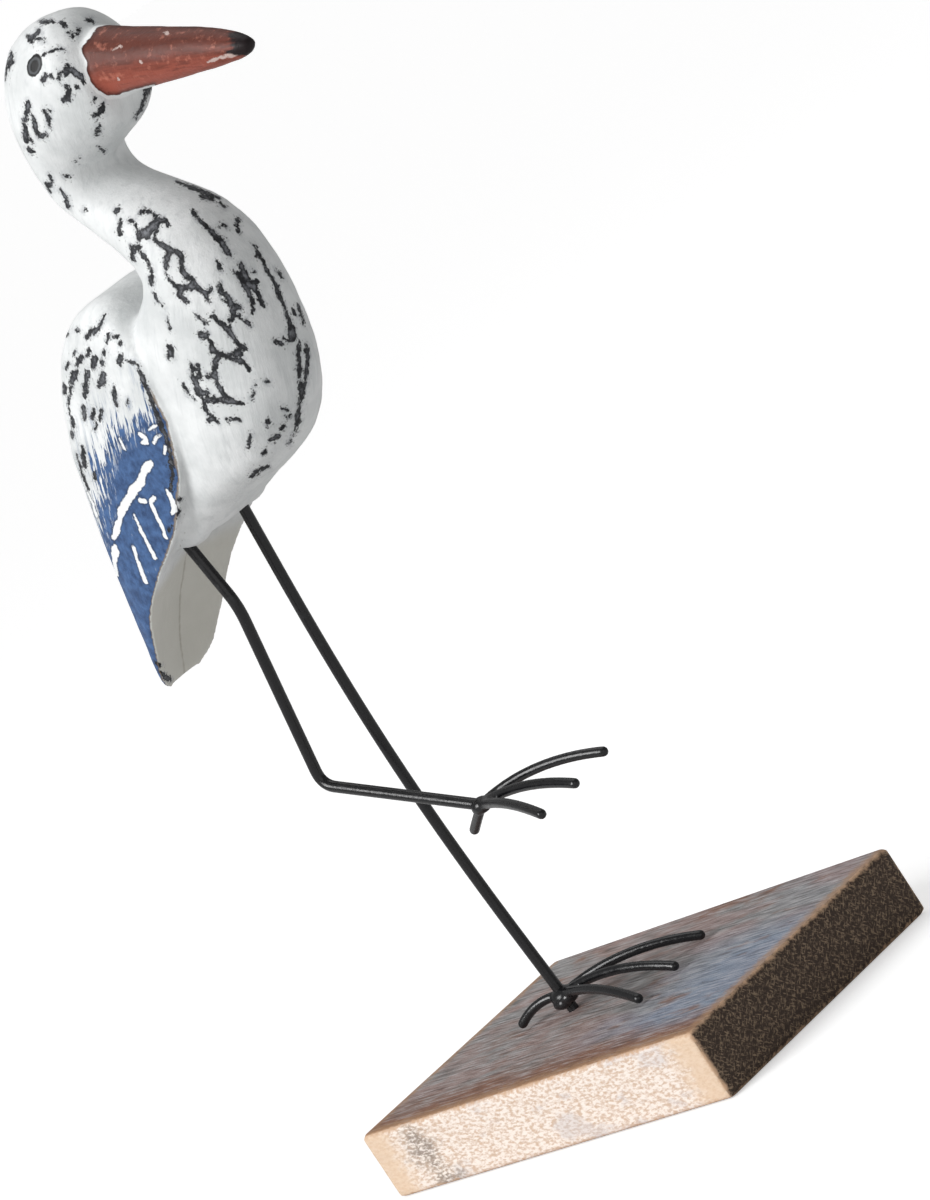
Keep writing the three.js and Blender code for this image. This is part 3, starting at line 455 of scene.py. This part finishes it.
def limed_block(settings):
    """Sawn softwood under thin washes: blue-grey and brown brushed along the top, lime sponged on the
    long sides, dark stain on the ends with pale fibres showing, and bare tan wood along worn edges."""
    material, tree = new_material("Washed and limed softwood block")
    place = add(tree, "VectorMath", {0: add(tree, "TexCoord", out="Object"), 3: 1000.0}, operation="SCALE")
    x, y, z = add(tree, "SeparateXYZ", {0: place}).node.outputs
    noise = patterns(tree, place, (
        ("wash", "Z", -3, (9, 0.9, 0.9), 6), ("cloud", "Z", 5, (34, 12, 12), 4),
        ("stain", "Z", 0, (24, 9, 9), 4), ("ragged", "Z", 0, (2, 2, 2), 5),
        ("dab", "Z", 0, (1.8, 1.8, 0.8), 4), ("patch", "Z", 0, (16, 16, 8), 5),
        ("fibre", "X", 45, (1, 1.7, 0.5), 2), ("cross", "X", -45, (1, 1.7, 0.5), 2)))
    ragged = add(tree, "Math", {0: noise["ragged"], 1: 0.5}, operation="SUBTRACT")
    from_end, from_side = (
        add(tree, "Math", {0: half, 1: add(tree, "Math", {0: axis}, operation="ABSOLUTE")},
            operation="SUBTRACT") for half, axis in ((BLOCK_HIGH[0], x), (BLOCK_HIGH[1], y)))
    from_flat = add(tree, "Math", {0: add(tree, "Math", {0: BLOCK_TOP, 1: z}, operation="SUBTRACT"), 1: z},
                    operation="MINIMUM")

    # Top: washes brushed along the block, bluer towards the toes' end, brown along one side
    top = add(tree, "Mix", {0: add(tree, "MapRange", {0: noise["cloud"], 1: 0.42, 2: 0.58}),
                            6: linear("#8B8988"), 7: linear("#9A8580")}, out=2, data_type="RGBA")
    bluer = add(tree, "Math", {0: noise["cloud"], 1: 70.0, 2: x}, operation="MULTIPLY_ADD")
    bluer = add(tree, "Math", {0: add(tree, "MapRange", {0: bluer, 1: 46.0, 2: 78.0, 4: 0.85}),
                               1: add(tree, "MapRange", {0: y, 1: 20.0, 2: 4.0, 3: 0.15})},
                operation="MULTIPLY")
    top = add(tree, "Mix", {0: bluer, 6: top, 7: linear("#8492A6")}, out=2, data_type="RGBA")
    top = add(tree, "Mix", {0: add(tree, "MapRange", {0: noise["stain"], 1: 0.56, 2: 0.68, 4: 0.8}), 6: top,
                            7: linear("#85604D")}, out=2, data_type="RGBA")
    browner = add(tree, "Math", {0: noise["stain"], 1: 26.0, 2: y}, operation="MULTIPLY_ADD")
    top = add(tree, "Mix", {0: add(tree, "MapRange", {0: browner, 1: -14.0, 2: -25.0}), 6: top,
                            7: linear("#8B6451")}, out=2, data_type="RGBA")
    top = add(tree, "Mix", {0: add(tree, "MapRange", {0: noise["wash"], 1: 0.5, 2: 0.66, 4: 0.55}), 6: top,
                            7: linear("#C9C6C8")}, out=2, data_type="RGBA")
    top = add(tree, "Mix", {0: add(tree, "MapRange", {0: noise["wash"], 1: 0.48, 2: 0.34, 4: 0.6}), 6: top,
                            7: linear("#453D3B")}, out=2, data_type="RGBA")
    rim = add(tree, "Math", {0: from_end, 1: add(tree, "Math", {0: y, 1: BLOCK_HIGH[1]}, operation="ADD")},
              operation="MINIMUM")
    rim = add(tree, "Math", {0: ragged, 1: 9.0, 2: rim}, operation="MULTIPLY_ADD")
    top = add(tree, "Mix", {0: add(tree, "MapRange", {0: rim, 1: 5.5, 2: 2.0, 4: 0.7}), 6: top,
                            7: linear("#AC8766")}, out=2, data_type="RGBA")

    # Long sides: lime dabbed over tan wood, thinner at the ends and rubbed grey-brown near one of them
    side = add(tree, "Mix", {0: add(tree, "MapRange", {0: noise["dab"], 1: 0.4, 2: 0.56}),
                             6: linear("#CDB29C"), 7: linear("#EDE2D9")}, out=2, data_type="RGBA")
    side = add(tree, "Mix", {0: add(tree, "MapRange", {0: noise["patch"], 1: 0.54, 2: 0.64, 4: 0.45}),
                             6: side, 7: linear("#C4BEC0")}, out=2, data_type="RGBA")
    grubby = add(tree, "Math", {0: add(tree, "Math", {0: x, 1: 49.0}, operation="ADD")},
                 operation="ABSOLUTE")
    grubby = add(tree, "Math", {0: noise["patch"], 1: -40.0, 2: grubby}, operation="MULTIPLY_ADD")
    grubby = add(tree, "Math", {0: add(tree, "MapRange", {0: grubby, 1: -12.0, 2: -20.0}),
                                1: add(tree, "MapRange", {0: noise["dab"], 1: 0.62, 2: 0.46, 4: 0.85})},
                 operation="MULTIPLY")
    side = add(tree, "Mix", {0: grubby, 6: side, 7: linear("#8C8076")}, out=2, data_type="RGBA")
    plain = add(tree, "Math", {0: ragged, 1: 14.0, 2: from_end}, operation="MULTIPLY_ADD")
    side = add(tree, "Mix", {0: add(tree, "MapRange", {0: plain, 1: 14.0, 2: 7.0, 4: 0.8}), 6: side,
                             7: linear("#DCC0A3")}, out=2, data_type="RGBA")

    # Ends: dark stain, with short pale fibres of end grain that cross
    fibre = add(tree, "Math", {0: noise["fibre"], 1: noise["cross"]}, operation="MAXIMUM")
    end = add(tree, "Mix", {0: add(tree, "MapRange", {0: fibre, 1: 0.53, 2: 0.68}), 6: linear("#3F3128"),
                            7: linear("#958069")}, out=2, data_type="RGBA")

    # The face nearest to a point gives its colour, and bare wood shows where a second face is close
    colour = top
    for face, distance in ((side, from_side), (end, from_end)):
        colour = add(tree, "Mix", {0: add(tree, "MapRange", {0: distance, 1: 0.9, 2: 0.6}), 6: colour,
                                   7: face}, out=2, data_type="RGBA")
    nearer = add(tree, "Math", {0: from_end, 1: from_side}, operation="MINIMUM")
    further = add(tree, "Math", {0: from_end, 1: from_side}, operation="MAXIMUM")
    second = add(tree, "Math", {0: further, 1: from_flat}, operation="MINIMUM")
    second = add(tree, "Math", {0: nearer, 1: second}, operation="MAXIMUM")
    worn = add(tree, "Math", {0: ragged, 1: 3.2, 2: settings.edge_wear * 1000}, operation="MULTIPLY_ADD")
    worn = add(tree, "MapRange", {0: add(tree, "Math", {0: worn, 1: second}, operation="SUBTRACT"),
                                  1: -0.3, 2: 0.5, 4: 0.9})
    colour = add(tree, "Mix", {0: worn, 6: colour, 7: linear("#C9A688")}, out=2, data_type="RGBA")

    # Relief in millimetres: brush marks, dabs and fibres
    height = add(tree, "Math", {0: noise["wash"], 1: 0.25, 2: 0.0}, operation="MULTIPLY_ADD")
    for pattern, depth in ((noise["dab"], 0.3), (fibre, 0.25)):
        height = add(tree, "Math", {0: pattern, 1: depth, 2: height}, operation="MULTIPLY_ADD")
    relief = add(tree, "Bump", {"Strength": 0.6, "Distance": 0.001, "Height": height})
    finish_material(tree, Base_Color=colour, Roughness=0.6, Normal=relief, Specular_IOR_Level=0.3)
    return material


def studio_paper():
    """Seamless studio paper, matt and pale. It glows a little to the eye, so that it shows no horizon."""
    material, tree = new_material("Seamless studio paper")
    noise = patterns(tree, add(tree, "TexCoord", out="Object"), (("tooth", "Z", 0, (0.002,) * 3, 2),))
    relief = add(tree, "Bump", {"Strength": 0.05, "Distance": 0.0002, "Height": noise["tooth"]})
    glow = add(tree, "Math", {0: add(tree, "LightPath", out="Is Camera Ray"), 1: 0.5}, operation="MULTIPLY")
    finish_material(tree, Base_Color=linear("#D8D8D8"), Roughness=0.9, Normal=relief,
                    Emission_Color=linear("#FFFFFF"), Emission_Strength=glow)
    return material


# Shaping
def deselect():
    if bpy.context.object and bpy.context.object.mode != "OBJECT":
        bpy.ops.object.mode_set(mode="OBJECT")
    bpy.ops.object.select_all(action="DESELECT")


def take(piece):
    """Makes a piece the only one selected, and active."""
    deselect()
    piece.select_set(True)
    bpy.context.view_layer.objects.active = piece


def apply_modifier(piece, kind, **settings):
    take(piece)
    modifier = piece.modifiers.new(kind.title(), kind)
    for name, value in settings.items():
        setattr(modifier, name, value)
    bpy.ops.object.modifier_apply(modifier=modifier.name)


def dress(piece, name, material, node):
    """Gives a finished piece its name, finish and place in the frame."""
    take(piece)
    bpy.ops.object.transform_apply(location=True, rotation=True, scale=True)
    piece.name = piece.data.name = name
    piece.data.materials.clear()
    piece.data.materials.append(material)
    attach(piece, "root")
    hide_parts(node)


def copy_of(node):
    """A CAD node's mesh as a piece of its own, with its loose triangles joined up."""
    take(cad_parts[node])
    bpy.ops.object.duplicate()
    piece = bpy.context.object
    for key in [k for k in piece.keys() if k.startswith("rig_")]:
        del piece[key]
    bpy.ops.object.mode_set(mode="EDIT")
    bpy.ops.mesh.select_all(action="SELECT")
    bpy.ops.mesh.remove_doubles(threshold=1e-6)
    bpy.ops.object.mode_set(mode="OBJECT")
    return piece


def positions(mesh, what="vertices", field="co"):
    values = np.empty(len(mesh.vertices) * 3, np.float32)
    getattr(mesh, what).foreach_get(field, values)
    return values.reshape(-1, 3).astype(float)


def to_line(at, points):
    """Distance in the plane from each place to a stroke through the points, less half its width there."""
    best = np.full(len(at), 1e9)
    points = np.asarray(points, float)
    half = points[:, 2] / 2 if points.shape[1] > 2 else np.zeros(len(points))
    for a, b, thick, thin in zip(points[:-1, :2], points[1:, :2], half[:-1], half[1:]):
        run = b - a
        share = np.clip(((at - a) @ run) / max(run @ run, 1e-9), 0, 1)
        away = np.linalg.norm(at - a - share[:, None] * run, axis=1)
        best = np.minimum(best, away - thick - share * (thin - thick))
    return best


def smooth_step(value, low, high):
    t = np.clip((value - low) / (high - low), 0, 1)
    return t * t * (3 - 2 * t)


def on_drawing(place, side):
    """Where points of the bird fall on the flank's flat drawing."""
    rise = FLANK_SLIDE[1] * smooth_step(-place[:, 2], -285, -235)
    return np.stack([place[:, 0] + FLANK_SLIDE[0] * side, place[:, 2] + rise * side], axis=1)


def to_marks(place, normal, marks):
    """How far outside the nearest mark each point lies, in mm. The flank that the drawing shows takes
    the marks as drawn, and the other flank takes the same marks mirrored."""
    side = place[:, 1] - BIRD_Y
    facing = normal @ np.array([FLANK_SLIDE[0], -1.0, FLANK_SLIDE[1]])
    at = on_drawing(place, np.where(facing > 0, side, -side))
    best = np.full(len(at), 8.0)
    for points in marks:
        low, high = (np.array(f(points, axis=0))[:2] for f in (np.min, np.max))
        near = np.flatnonzero(np.all((at > low - 6) & (at < high + 6), axis=1))
        best[near] = np.minimum(best[near], to_line(at[near], points))
    return best + 1.2 * smooth_step(facing, -0.25, 0) * (facing <= 0)


def inside(at, line, across):
    """Signed distance to a line on the drawing: more than nothing on its far side along an axis."""
    line = np.asarray(line, float)
    limit = np.interp(at[:, 1 - across], line[:, 1 - across], line[:, across])
    away = to_line(at, line)
    return np.clip(np.where(at[:, across] > limit, away, -away), -12, 12)


def inside_wing(place, normal):
    """How far inside the wings each point lies, in mm, less than nothing outside them."""
    edge = np.asarray(WING_EDGE)[::-1]
    depth = -inside(place[:, [0, 2]], edge, 0)
    below = normal @ np.array(TAIL_UNDERSIDE)
    return np.minimum(depth, (0.5 - below) * 4)


def store(mesh, name, values):
    attribute = mesh.attributes.new(name, "FLOAT", "POINT")
    attribute.data.foreach_set("value", values.astype(np.float32))


class GullBirdSettings(bpy.types.PropertyGroup):
    voxel: FloatProperty(name="Carving detail", description="Spacing of the carved surface's mesh",
                         default=0.0007, min=0.0004, unit="LENGTH", subtype="DISTANCE")
    softening: IntProperty(name="Softening", description="How often the knife facets are rubbed down",
                           default=10, min=0)
    cut_size: FloatProperty(name="Cut size", description="Spacing of the soft knife cuts",
                            default=0.011, unit="LENGTH", subtype="DISTANCE")
    cut_depth: FloatProperty(name="Cut depth", description="Depth of the soft knife cuts",
                             default=0.0006, unit="LENGTH", subtype="DISTANCE")
    eye_length: FloatProperty(name="Eye length", description="Length of the painted eye",
                              default=0.006, unit="LENGTH", subtype="DISTANCE")
    eye_height: FloatProperty(name="Eye height", description="Height of the painted eye",
                              default=0.0044, unit="LENGTH", subtype="DISTANCE")


class GullWireSettings(bpy.types.PropertyGroup):
    sides: IntProperty(name="Sides", description="How finely the round wire is divided", default=6, min=3)
    enamel: FloatVectorProperty(name="Enamel", description="Colour of the enamel on the wire",
                                subtype="COLOR", size=3, default=(0.006, 0.006, 0.007), min=0, max=1)
    weld_voxel: FloatProperty(name="Weld detail", description="Spacing of the feet's mesh",
                              default=0.00032, min=0.0002, unit="LENGTH", subtype="DISTANCE")


class GullBlockSettings(bpy.types.PropertyGroup):
    arris: FloatProperty(name="Edge rounding", description="How far the block's edges are rounded",
                         default=0.0012, unit="LENGTH", subtype="DISTANCE")
    edge_wear: FloatProperty(name="Edge wear", description="Width of bare wood along the edges",
                             default=0.0009, unit="LENGTH", subtype="DISTANCE")


class GullStageSettings(bpy.types.PropertyGroup):
    key: FloatProperty(name="Key light", description="Strength of the main light", default=2.75, min=0)
    surround: FloatProperty(name="Surround", description="Strength of the light from all round",
                            default=0.25, min=0)


class GULL_OT_bird(bpy.types.Operator):
    """Carve the bird from the solid, soften it, and paint its marks"""

    bl_idname = "gull.bird"
    bl_label = "Carved bird"

    def execute(self, context):
        settings = context.scene.gull_bird
        piece = copy_of("carved_bird")
        apply_modifier(piece, "REMESH", mode="VOXEL", voxel_size=settings.voxel, use_smooth_shade=True)
        apply_modifier(piece, "SMOOTH", factor=0.5, iterations=settings.softening)
        cuts = bpy.data.textures.new("Knife cuts", "CLOUDS")
        cuts.noise_scale, cuts.noise_depth = settings.cut_size, 1
        apply_modifier(piece, "DISPLACE", texture=cuts, strength=settings.cut_depth, mid_level=0.55)
        mesh = piece.data
        place = positions(mesh) * 1000
        normal = positions(mesh, "vertex_normals", "vector")
        side = place[:, 1] - BIRD_Y
        below = normal @ np.array(TAIL_UNDERSIDE)
        under = (smooth_step(below, 0.5, 0.85) * smooth_step(-place[:, 0], 26, 36)
                 * smooth_step(-place[:, 2], -180, -172))
        # The underside of the tail is hollowed to a crease along its middle
        run = smooth_step(place[:, 0], -67, -58)
        hollow = TAIL_HOLLOW * under * run * np.clip(1 - np.abs(side) / 13, 0, 1)
        place -= hollow[:, None] * np.array(TAIL_UNDERSIDE)
        low, high = (np.array(corner) * 1000 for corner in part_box("carved_bird"))
        place = np.clip(place, low, high)
        mesh.vertices.foreach_set("co", (place / 1000).astype(np.float32).ravel())
        mesh.update()

        drawn = on_drawing(place, -np.abs(side))
        store(mesh, "chip_and_shade", to_marks(place, normal, HEAD_CHIPS_AND_SHADE + NECK_CHIPS + BREAST_CHIPS + WING_CHIPS_AND_SHADE))
        store(mesh, "scratch", to_marks(place, normal, SCRATCHES))
        store(mesh, "wing", inside_wing(place, normal))
        store(mesh, "blue", -inside(drawn, BLUE_LIMIT, 1))
        store(mesh, "under", under)
        store(mesh, "beak", inside(drawn, BEAK_ROOT, 0))
        dress(piece, "carved_gull", painted_wood(settings), "carved_bird")
        bpy.ops.object.shade_smooth()
        return {"FINISHED"}


def wire(name, points, thickness, sides, rounded=False):
    """Round wire through points in millimetres, with a rounded end where one is asked for."""
    deselect()
    bpy.ops.curve.primitive_nurbs_path_add()
    curve = bpy.context.object.data
    curve.splines.clear()
    curve.dimensions = "3D"
    curve.bevel_depth = thickness / 2000
    curve.bevel_resolution = sides
    curve.use_fill_caps = True
    points = np.asarray(points, float)
    spline = curve.splines.new("POLY")
    spline.points.add(len(points) - 1)
    left = np.linalg.norm(points - points[-1], axis=1) / (thickness / 2)
    round_end = np.where(left < 1, np.sqrt(np.clip(1 - (1 - left) ** 2, 0.02, 1)), 1)
    radius = round_end if rounded else np.ones(len(points))
    for knot, at, size in zip(spline.points, points / 1000, radius):
        knot.co = (*at, 1)
        knot.radius = size
    bpy.ops.object.convert(target="MESH")
    return bpy.context.object


def standing_points():
    """The standing leg bows back between the hip and the foot, and its lower end enters the block."""
    top, bottom = HIP[1] + 7, BLOCK_TOP - 7
    points = []
    for z in np.linspace(top, bottom, 90):
        share = (HIP[1] - z) / (HIP[1] - HUB[2])
        bow = STANDING_BOW * math.sin(math.pi * share)
        points.append((HIP[0] + (HUB[0] - HIP[0]) * share - bow, HUB[1], z))
    return points


def raised_points(radius=4.5, steps=14):
    """The raised leg leaves the belly, bends at the knee and again, sharply, at the hock."""
    hip, knee, hock, hub = (np.array((x, RAISED_Y, z)) for x, z in
                            (HIP, RAISED_KNEE, RAISED_HOCK, (RAISED_HUB[0], RAISED_HUB[2])))
    start = hip + (hip - knee) / np.linalg.norm(hip - knee) * 7
    points = [start]
    last = start
    for corner, after in ((knee, hock), (hock, hub)):
        a = corner + (last - corner) / np.linalg.norm(last - corner) * radius
        b = corner + (after - corner) / np.linalg.norm(after - corner) * radius
        points += [(1 - t) ** 2 * a + 2 * t * (1 - t) * corner + t * t * b for t in np.linspace(0, 1, steps)]
        last = b
    return points + [hub]


class GULL_OT_legs(bpy.types.Operator):
    """Bend the two legs from wire"""

    bl_idname = "gull.legs"
    bl_label = "Wire legs"

    def execute(self, context):
        settings = context.scene.gull_wire
        enamel = black_enamel(settings)
        for name, node, points in (("standing_leg_wire", "standing_leg", standing_points()),
                                   ("raised_leg_wire", "raised_leg", raised_points())):
            piece = wire(name, points, LEG_WIRE, settings.sides)
            dress(piece, name, enamel, node)
            bpy.ops.object.shade_smooth_by_angle(angle=math.radians(40))
        return {"FINISHED"}


def build_foot(name, toes, hub, turn, blobs, settings):
    """Four toes of wire and the blobs of a weld, fused in one skin and rubbed smooth."""
    parts = []
    for heading, reach, arch, drop in toes:
        angle = math.radians(heading)
        share = np.linspace(0, 1, 40)[:, None]
        along = np.hstack([math.cos(angle) * reach * share, math.sin(angle) * reach * share,
                           4 * arch * share * (1 - share) - drop * share**2])
        fine = along[-1] + (along[-2] - along[-1]) * np.linspace(1, 0, 9)[1:, None]
        parts.append(wire(name, np.vstack([along[:-1], fine]), TOE_WIRE, settings.sides, rounded=True))
    for (x, y, z), size in blobs:
        deselect()
        bpy.ops.mesh.primitive_uv_sphere_add(segments=24, ring_count=16, radius=0.001,
                                             location=(x / 1000, y / 1000, z / 1000), scale=size)
        parts.append(bpy.context.object)
    deselect()
    for part in parts:
        part.select_set(True)
    bpy.context.view_layer.objects.active = parts[0]
    bpy.ops.object.join()
    piece = bpy.context.object
    bpy.ops.object.transform_apply(location=True, rotation=True, scale=True)
    apply_modifier(piece, "REMESH", mode="VOXEL", voxel_size=settings.weld_voxel, use_smooth_shade=True)
    apply_modifier(piece, "SMOOTH", factor=0.5, iterations=5)
    pitch, yaw = (math.radians(a) for a in turn)
    piece.matrix_world = (Matrix.Translation(Vector(hub) / 1000) @ Matrix.Rotation(yaw, 4, "Z")
                          @ Matrix.Rotation(pitch, 4, "Y"))
    return piece


class GULL_OT_feet(bpy.types.Operator):
    """Weld the two feet from four toes each"""

    bl_idname = "gull.feet"
    bl_label = "Wire feet"

    def execute(self, context):
        settings = context.scene.gull_wire
        enamel = bpy.data.materials["Gloss black enamel on steel wire"]
        standing_weld = [((0.4, 0, -0.2), (4.6, 3.4, 2.5)), ((-1.6, 1.4, 0.3), (2.4, 2.2, 2.0)),
                         ((3.0, -0.8, -0.6), (2.8, 2.6, 1.9)), ((0.2, -1.6, -1.6), (3.4, 2.2, 1.8))]
        raised_weld = [((0, 0, 0), (3.2, 2.7, 2.2)), ((1.8, 0.4, 0.2), (2.4, 2.2, 1.6)),
                       ((-0.8, -0.4, -0.4), (2.2, 2.2, 1.9))]
        for name, node, toes, hub, turn, blobs in (
                ("standing_foot_wire", "standing_foot", TOES, HUB, (0, 0), standing_weld),
                ("raised_foot_wire", "raised_foot", RAISED_TOES, RAISED_HUB, RAISED_TURN, raised_weld)):
            piece = build_foot(name, toes, hub, turn, blobs, settings)
            dress(piece, name, enamel, node)
            bpy.ops.object.shade_smooth()
        return {"FINISHED"}


class GULL_OT_block(bpy.types.Operator):
    """Saw the block, ease its edges and wash it"""

    bl_idname = "gull.block"
    bl_label = "Painted block"

    def execute(self, context):
        settings = context.scene.gull_block
        size = (BLOCK_HIGH - BLOCK_LOW) / 1000
        deselect()
        bpy.ops.mesh.primitive_cube_add(size=1, location=tuple((BLOCK_HIGH + BLOCK_LOW) / 2000),
                                        scale=tuple(size - 0.0001))
        piece = bpy.context.object
        bpy.ops.object.transform_apply(location=True, rotation=True, scale=True)
        apply_modifier(piece, "BEVEL", width=settings.arris, segments=4, limit_method="ANGLE")
        apply_modifier(piece, "REMESH", mode="VOXEL", voxel_size=0.0009, use_smooth_shade=True)
        apply_modifier(piece, "SMOOTH", factor=0.5, iterations=3)
        dress(piece, "painted_block", limed_block(settings), "base_block")
        bpy.ops.object.shade_smooth()
        return {"FINISHED"}


class GULL_OT_stage(bpy.types.Operator):
    """Set out the floor, the lights and the camera"""

    bl_idname = "gull.stage"
    bl_label = "Studio stage"

    def execute(self, context):
        settings = context.scene.gull_stage
        scene = context.scene
        deselect()
        bpy.ops.mesh.primitive_plane_add(size=60, location=(0, 0, 0))
        floor = context.object
        floor.name = "floor"
        floor.data.materials.append(studio_paper())

        world = bpy.data.worlds.new("Studio")
        scene.world = world
        world.use_nodes = True
        tree = world.node_tree
        tree.nodes.clear()
        seen = add(tree, "LightPath", out="Is Camera Ray")
        strength = add(tree, "MapRange", {0: seen, 3: settings.surround, 4: 1.0})
        add(tree, "OutputWorld", {0: add(tree, "Background", {0: (1, 1, 1, 1), 1: strength})})

        target = Vector((0, -0.01, 0.16))
        for name, kind, at, width, power in (
                ("key", "SUN", (-0.35, -1.0, 0.75), math.radians(35), settings.key),
                ("fill", "SUN", (1.0, -0.75, 0.35), math.radians(60), settings.key * 0.16),
                ("top", "AREA", (-0.2, 0.3, 1.3), 1.0, settings.key * 1.3)):
            lamp = bpy.data.lights.new(name, kind)
            lamp.energy = power
            if kind == "SUN":
                lamp.angle = width
            else:
                lamp.size = width
            light = bpy.data.objects.new(name, lamp)
            light.location = at
            light.rotation_euler = (target - Vector(at)).to_track_quat("-Z", "Y").to_euler()
            scene.collection.objects.link(light)

        # The camera looks down from the bird's right front, rolled so that the block runs uphill
        right, down, ahead = (Vector(v).normalized() for v in
                              ((0.5884, 0.5996, -0.5425), (-0.2582, -0.4964, -0.8288),
                               (-0.7663, 0.6277, -0.1373)))
        lens = bpy.data.cameras.new("camera")
        lens.lens, lens.sensor_width, lens.clip_end = 165, 36, 20
        camera = bpy.data.objects.new("camera", lens)
        turn = Matrix((right, -down, -ahead)).transposed().to_4x4()
        camera.matrix_world = Matrix.Translation((1.0901, -0.8637, 0.3204)) @ turn
        scene.collection.objects.link(camera)
        scene.camera = camera
        scene.view_settings.view_transform = "Standard"
        return {"FINISHED"}


class GULL_PT_panel(bpy.types.Panel):
    bl_idname = "GULL_PT_panel"
    bl_label = "Carved Gull"
    bl_space_type = "VIEW_3D"
    bl_region_type = "UI"
    bl_category = "Carved Gull"

    def draw(self, context):
        for operator, group in ((GULL_OT_stage, "gull_stage"), (GULL_OT_bird, "gull_bird"),
                                (GULL_OT_legs, "gull_wire"), (GULL_OT_feet, "gull_wire"),
                                (GULL_OT_block, "gull_block")):
            box = self.layout.box()
            box.operator(operator.bl_idname)
            settings = getattr(context.scene, group)
            for name in settings.__annotations__:
                box.prop(settings, name)


GROUPS = {"gull_bird": GullBirdSettings, "gull_wire": GullWireSettings, "gull_block": GullBlockSettings,
          "gull_stage": GullStageSettings}
OPERATORS = (GULL_OT_stage, GULL_OT_bird, GULL_OT_legs, GULL_OT_feet, GULL_OT_block)


def register():
    for name, group in GROUPS.items():
        bpy.utils.register_class(group)
        setattr(bpy.types.Scene, name, PointerProperty(type=group))
    for operator in (*OPERATORS, GULL_PT_panel):
        bpy.utils.register_class(operator)


def unregister():
    for operator in reversed((*OPERATORS, GULL_PT_panel)):
        bpy.utils.unregister_class(operator)
    for name, group in GROUPS.items():
        delattr(bpy.types.Scene, name)
        bpy.utils.unregister_class(group)


def main():
    register()
    bpy.ops.gull.stage()
    bpy.ops.gull.bird()
    bpy.ops.gull.legs()
    bpy.ops.gull.feet()
    bpy.ops.gull.block()


if __name__ == "__main__":
    main()
